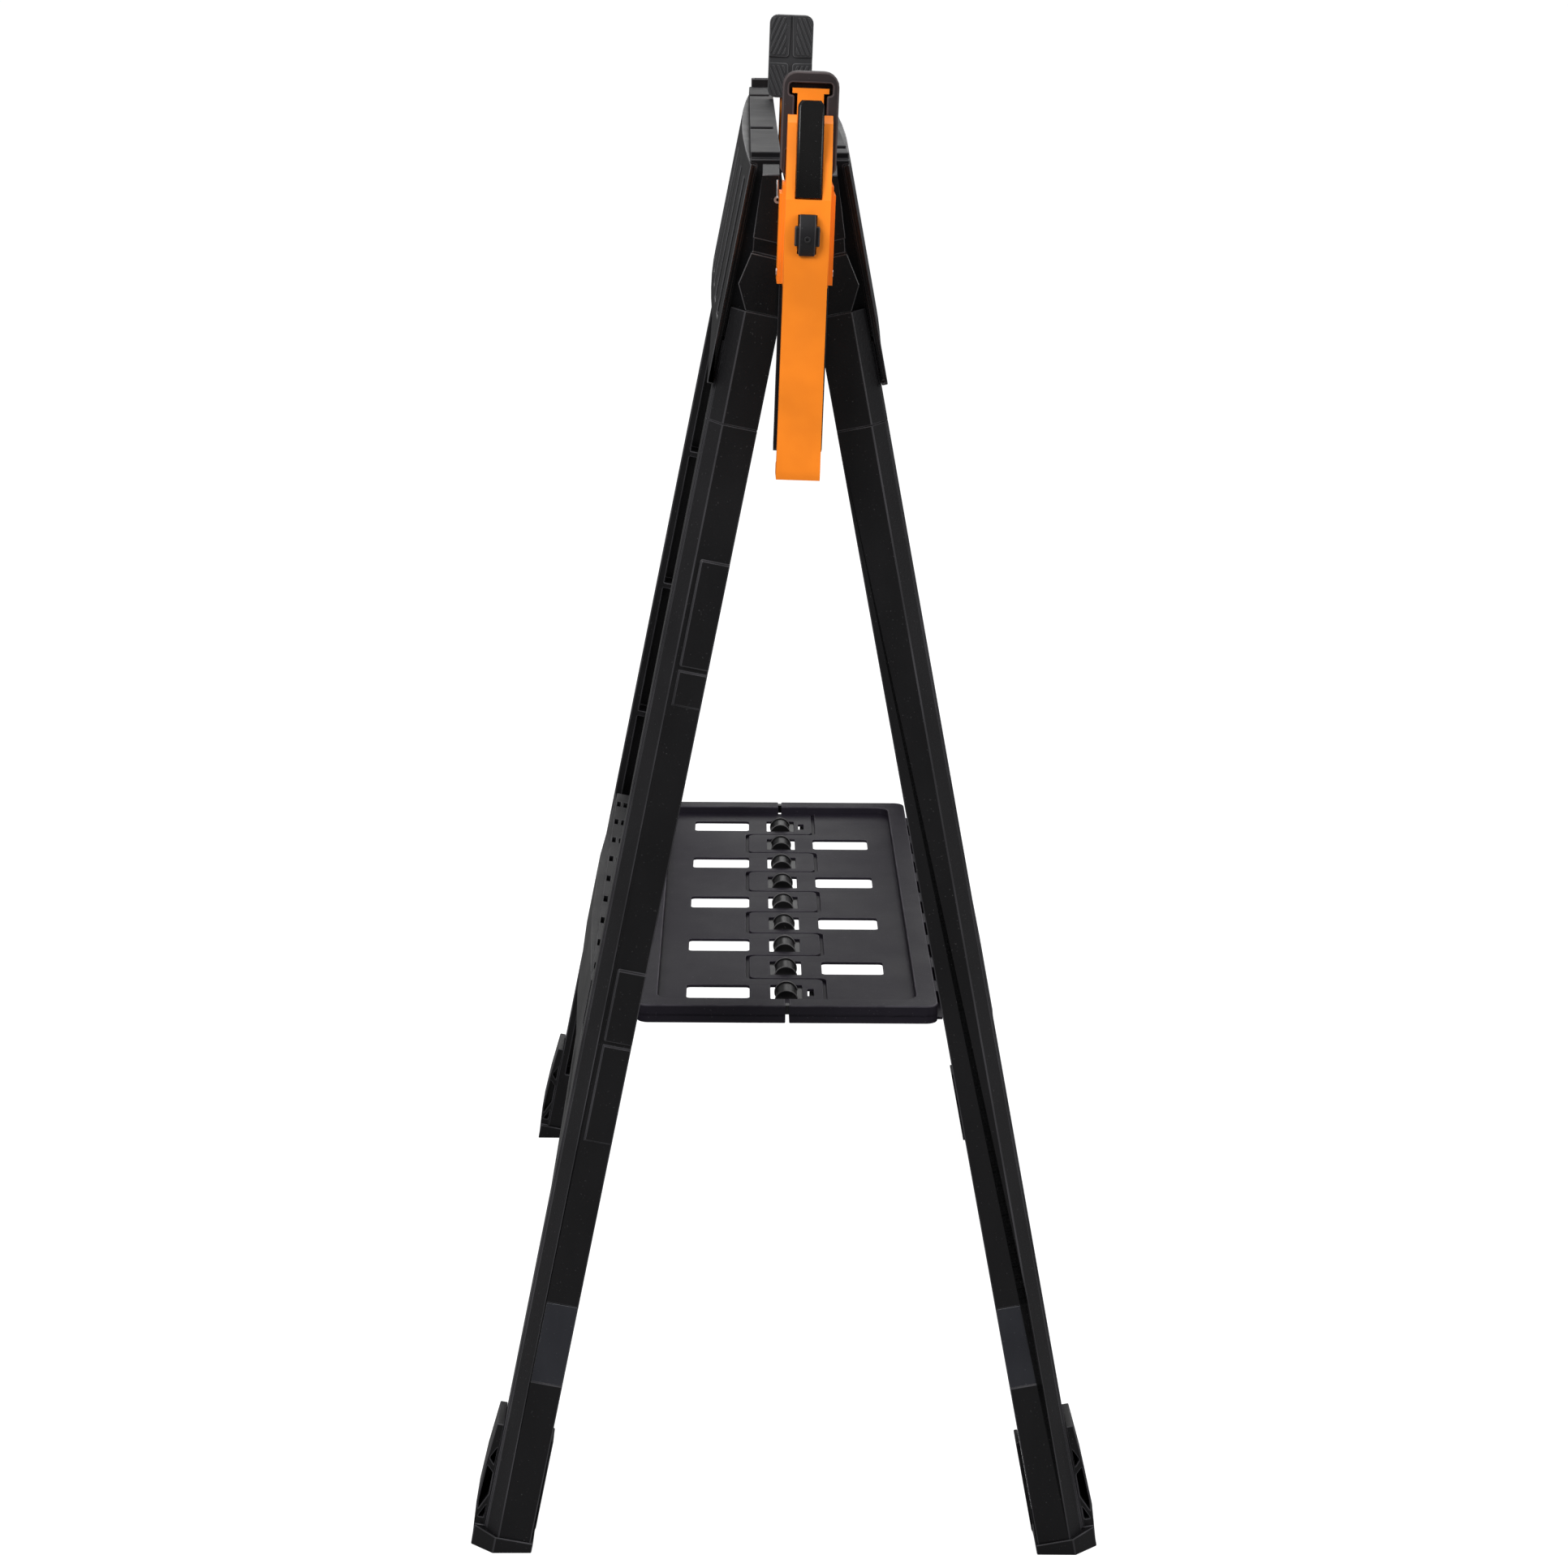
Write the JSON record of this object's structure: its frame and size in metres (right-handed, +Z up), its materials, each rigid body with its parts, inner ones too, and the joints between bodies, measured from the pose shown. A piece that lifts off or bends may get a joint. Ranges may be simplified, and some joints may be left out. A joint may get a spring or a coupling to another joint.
{
  "type": "folding clamping sawhorse",
  "caption": "Folding plastic sawhorse with a louvred top beam, hinged A-frame legs, a folding tray shelf and a one-hand bar clamp set in the top channel.",
  "frame": {"origin": "on the floor, under the middle of the whole object", "axes": "+Z up, +X across to the right as seen from the clamp handle's end, +Y along the work top away from the clamp handle"},
  "size_m": [0.3674, 0.6826, 0.8561],
  "materials": {
    "matte_black": "satin",
    "charcoal": "satin",
    "gloss_black": "gloss",
    "shelf_grey": "satin",
    "orange": "satin",
    "orange_paint": "satin",
    "pad_rubber": "matte",
    "far_pad_rubber": "matte",
    "steel": "brushed"
  },
  "bodies": {
    "spine": {"front_hinge_pin": "steel", "rear_hinge_pin": "steel", "clamp_body": "orange", "jaw_boot": "pad_rubber", "trigger_pin_rod": "steel", "release_pin_rod": "steel", "drive_plates": "steel", "drive_spring": "steel"},
    "left_side": {"left_top_beam": "matte_black", "left_side_plate": "charcoal", "left_end_caps": "gloss_black", "left_front_socket": "matte_black", "left_rear_socket": "matte_black", "left_front_leg": "matte_black", "left_rear_leg": "matte_black", "left_front_foot": "matte_black", "left_rear_foot": "matte_black", "left_cross_rail": "charcoal", "left_shelf_pin": "steel", "left_rail_hook": "matte_black", "rear_bar_stop": "matte_black", "front_catch_pin": "steel"},
    "right_side": {"right_top_beam": "matte_black", "right_side_plate": "charcoal", "right_end_caps": "gloss_black", "right_front_socket": "matte_black", "right_rear_socket": "matte_black", "right_front_leg": "matte_black", "right_rear_leg": "matte_black", "right_front_foot": "matte_black", "right_rear_foot": "matte_black", "right_cross_rail": "charcoal", "right_shelf_pin": "steel", "right_rail_hook": "matte_black"},
    "left_tray": {"left_shelf": "shelf_grey"},
    "right_tray": {"right_shelf": "shelf_grey"},
    "sliding_bar": {"clamp_bar": "orange_paint", "fixed_jaw": "orange", "fixed_jaw_pad": "far_pad_rubber", "bar_end_stop": "charcoal", "bar_stop_pin": "steel"},
    "trigger": {"clamp_trigger": "matte_black"},
    "release": {"release_lever": "gloss_black"}
  },
  "joints": [
    {"name": "left_fold", "type": "hinge", "parent": "spine", "child": "left_side", "pos_m": [0, 0, 0.748], "axis": [0, -1, 0], "range_deg": [0, 11.06]},
    {"name": "right_fold", "type": "hinge", "parent": "spine", "child": "right_side", "pos_m": [0, 0, 0.748], "axis": [0, 1, 0], "range_deg": [0, 11.06]},
    {"name": "left_shelf_fold", "type": "hinge", "parent": "left_side", "child": "left_tray", "pos_m": [-0.09763, 0, 0.29023], "axis": [0, -1, 0], "range_deg": [0, 77.8]},
    {"name": "right_shelf_fold", "type": "hinge", "parent": "right_side", "child": "right_tray", "pos_m": [0.09763, 0, 0.29023], "axis": [0, 1, 0], "range_deg": [0, 77.8]},
    {"name": "bar_slide", "type": "slide", "parent": "spine", "child": "sliding_bar", "axis": [0.0079, -1, 0], "range_m": [0, 0.45]},
    {"name": "trigger_squeeze", "type": "hinge", "parent": "spine", "child": "trigger", "pos_m": [0.00253, -0.311, 0.74101], "axis": [-0.9996, -0.0079, 0.0262], "range_deg": [0, 8.5], "stiffness_Nm_per_rad": 0.4, "springref_deg": -5.73},
    {"name": "release_press", "type": "hinge", "parent": "spine", "child": "release", "pos_m": [0.00387, -0.31898, 0.78999], "axis": [-0.9996, -0.0079, 0.0262], "range_deg": [0, 8], "stiffness_Nm_per_rad": 0.2, "springref_deg": -5.73}
  ],
  "couplings": [
    {"joint": "right_fold", "follows": "left_fold", "ratio": 1},
    {"joint": "left_shelf_fold", "follows": "left_fold", "ratio": 7.03},
    {"joint": "right_shelf_fold", "follows": "left_fold", "ratio": 7.03}
  ]
}
